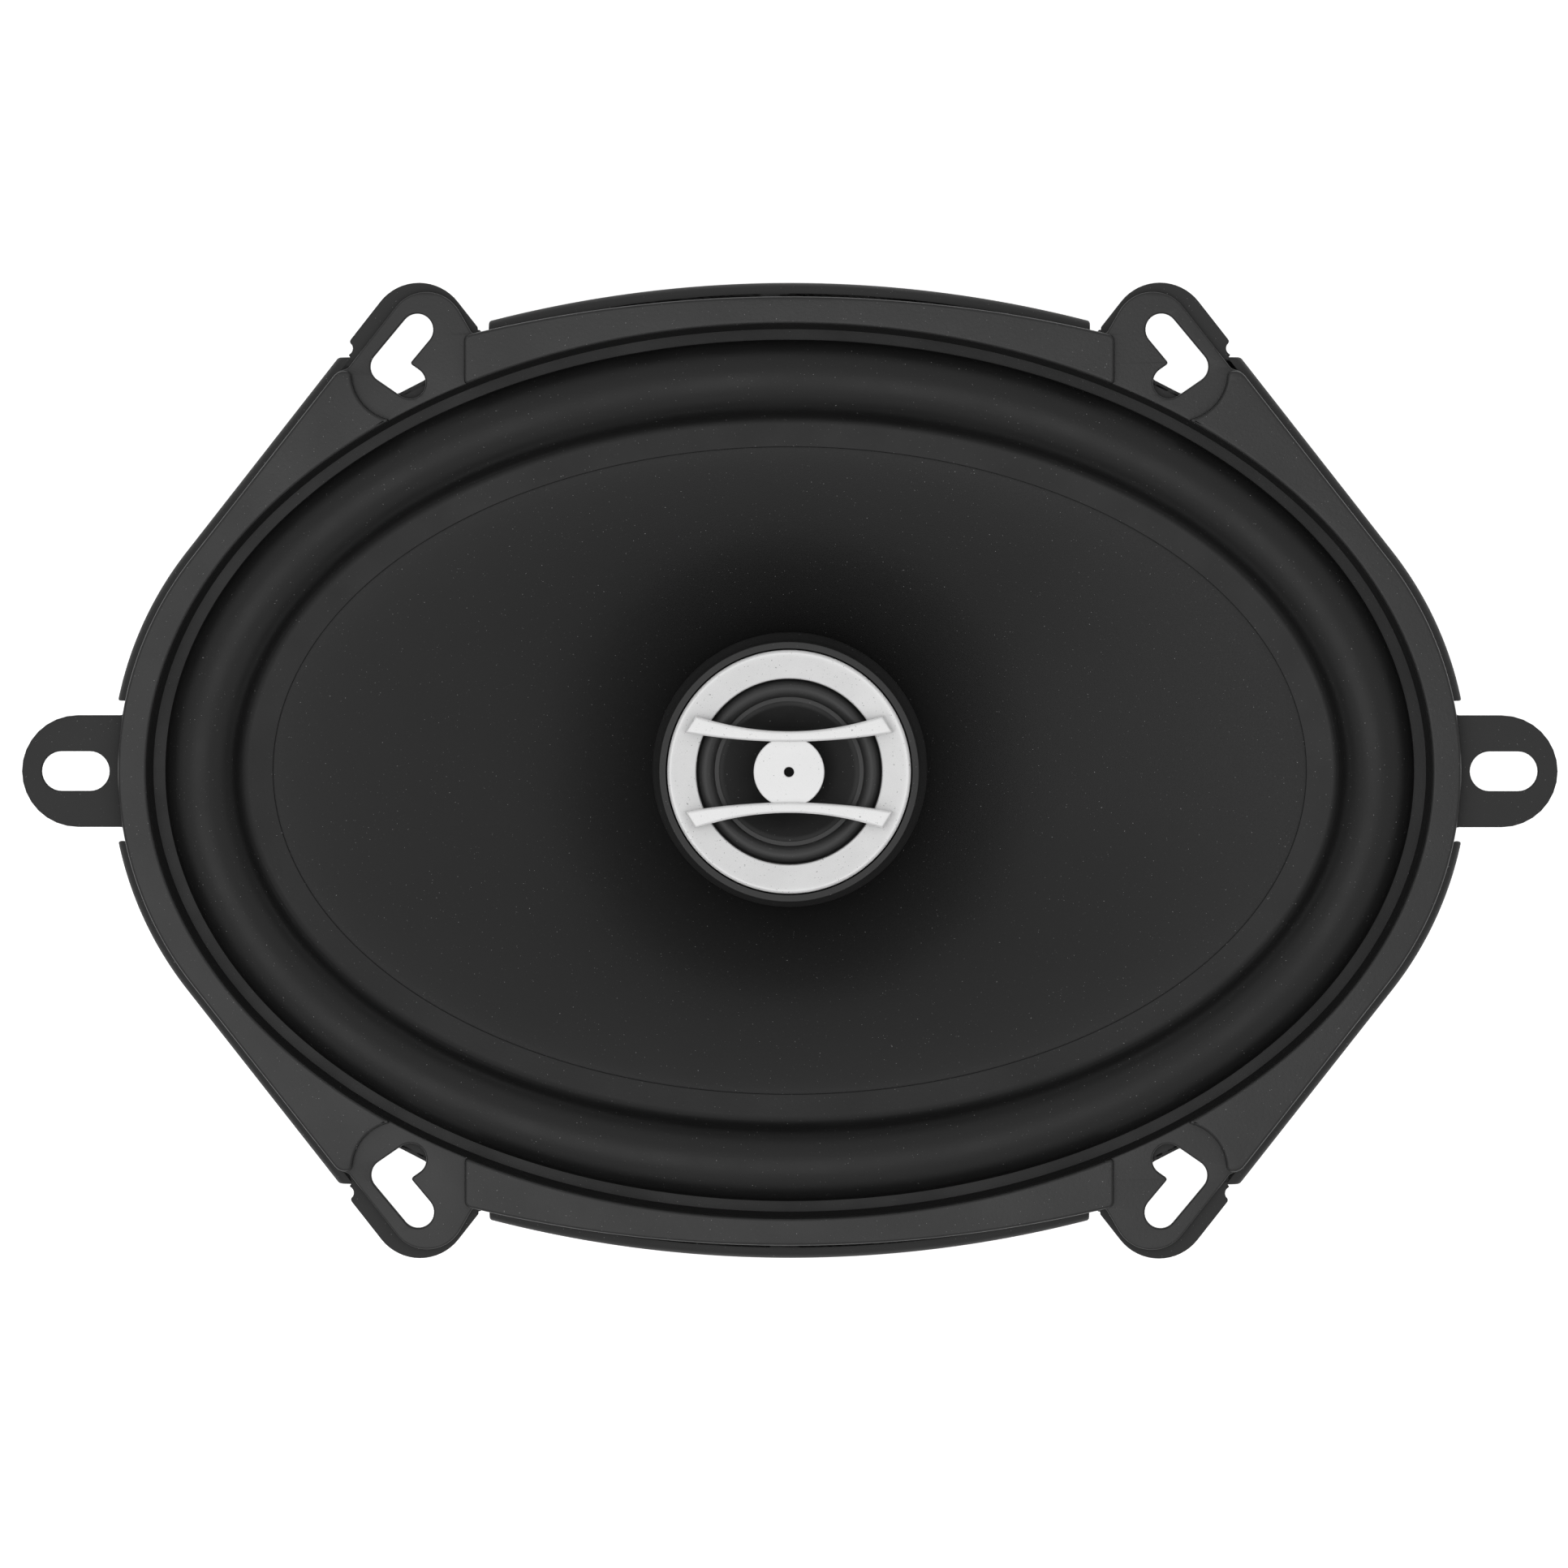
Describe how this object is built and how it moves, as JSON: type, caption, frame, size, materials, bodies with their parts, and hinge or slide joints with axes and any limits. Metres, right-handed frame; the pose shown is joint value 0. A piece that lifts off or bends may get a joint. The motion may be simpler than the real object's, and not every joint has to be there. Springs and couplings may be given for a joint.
{
  "type": "coaxial car speaker",
  "caption": "Oval two-way coaxial car speaker with a slotted pressed-steel frame, rubber-surround cone and a centre tweeter under a barred silver ring.",
  "frame": {"origin": "on the speaker's axis, in the rear face of the pole yoke that it stands on", "axes": "+Z along the axis to the front, +X along the long side towards a side ear, +Y along the short side away from the terminals"},
  "size_m": [0.225, 0.143, 0.0638],
  "materials": {
    "black_coated_steel": "satin black coating",
    "gasket_plastic": "matt moulded black",
    "surround_rubber": "satin butyl rubber",
    "cone_polymer": "matt black",
    "spider_cloth": "resin-treated woven cloth",
    "coil_former_film": "amber polyimide film",
    "enamelled_copper": "enamelled copper wire",
    "plated_steel": "zinc plated",
    "ferrite": "ground dark grey ferrite",
    "board_laminate": "brown phenolic laminate",
    "terminal_brass": "plain brass",
    "tinsel_braid": "braided copper tinsel",
    "capacitor_sleeve": "shrunk sleeve",
    "red_wire": "soft insulation",
    "black_wire": "soft insulation",
    "black_plastic": "matt moulded black",
    "neodymium": "nickel plated",
    "dome_film": "satin black",
    "silver_plastic": "satin silver paint"
  },
  "bodies": {
    "frame": {"basket_frame": "black_coated_steel", "front_gasket": "gasket_plastic", "woofer_surround": "surround_rubber", "spider": "spider_cloth", "pole_yoke": "plated_steel", "ferrite_magnet": "ferrite", "top_plate": "plated_steel", "chassis_rivet_1": "plated_steel", "chassis_rivet_2": "plated_steel", "chassis_rivet_3": "plated_steel", "chassis_rivet_4": "plated_steel", "terminal_board": "board_laminate", "positive_terminal": "terminal_brass", "negative_terminal": "plated_steel", "positive_terminal_rivet": "plated_steel", "negative_terminal_rivet": "plated_steel", "board_rivet": "plated_steel", "positive_tinsel_lead": "tinsel_braid", "negative_tinsel_lead": "tinsel_braid", "crossover_capacitor": "capacitor_sleeve", "capacitor_lead": "red_wire", "tweeter_lead_positive": "red_wire", "tweeter_lead_negative": "black_wire", "tweeter_post": "black_plastic", "post_nut": "plated_steel", "tweeter_pod": "black_plastic", "tweeter_pot": "plated_steel", "tweeter_magnet": "neodymium", "tweeter_pole_washer": "plated_steel", "tweeter_surround": "surround_rubber", "tweeter_mount_ring": "black_plastic", "tweeter_guard": "silver_plastic"},
    "woofer_diaphragm": {"woofer_cone": "cone_polymer", "voice_coil_former": "coil_former_film", "voice_coil_winding": "enamelled_copper"},
    "tweeter_diaphragm": {"tweeter_dome": "dome_film", "tweeter_coil_former": "coil_former_film", "tweeter_coil_winding": "enamelled_copper"}
  },
  "joints": [
    {"name": "woofer_travel", "type": "slide", "parent": "frame", "child": "woofer_diaphragm", "axis": [0, 0, 1], "range_m": [-0.004, 0.004], "stiffness_N_per_m": 1500, "deforming": ["woofer_surround", "spider", "positive_tinsel_lead", "negative_tinsel_lead"]},
    {"name": "tweeter_travel", "type": "slide", "parent": "frame", "child": "tweeter_diaphragm", "axis": [0, 0, 1], "range_m": [-0.0003, 0.0003], "stiffness_N_per_m": 60, "deforming": ["tweeter_surround"]}
  ]
}
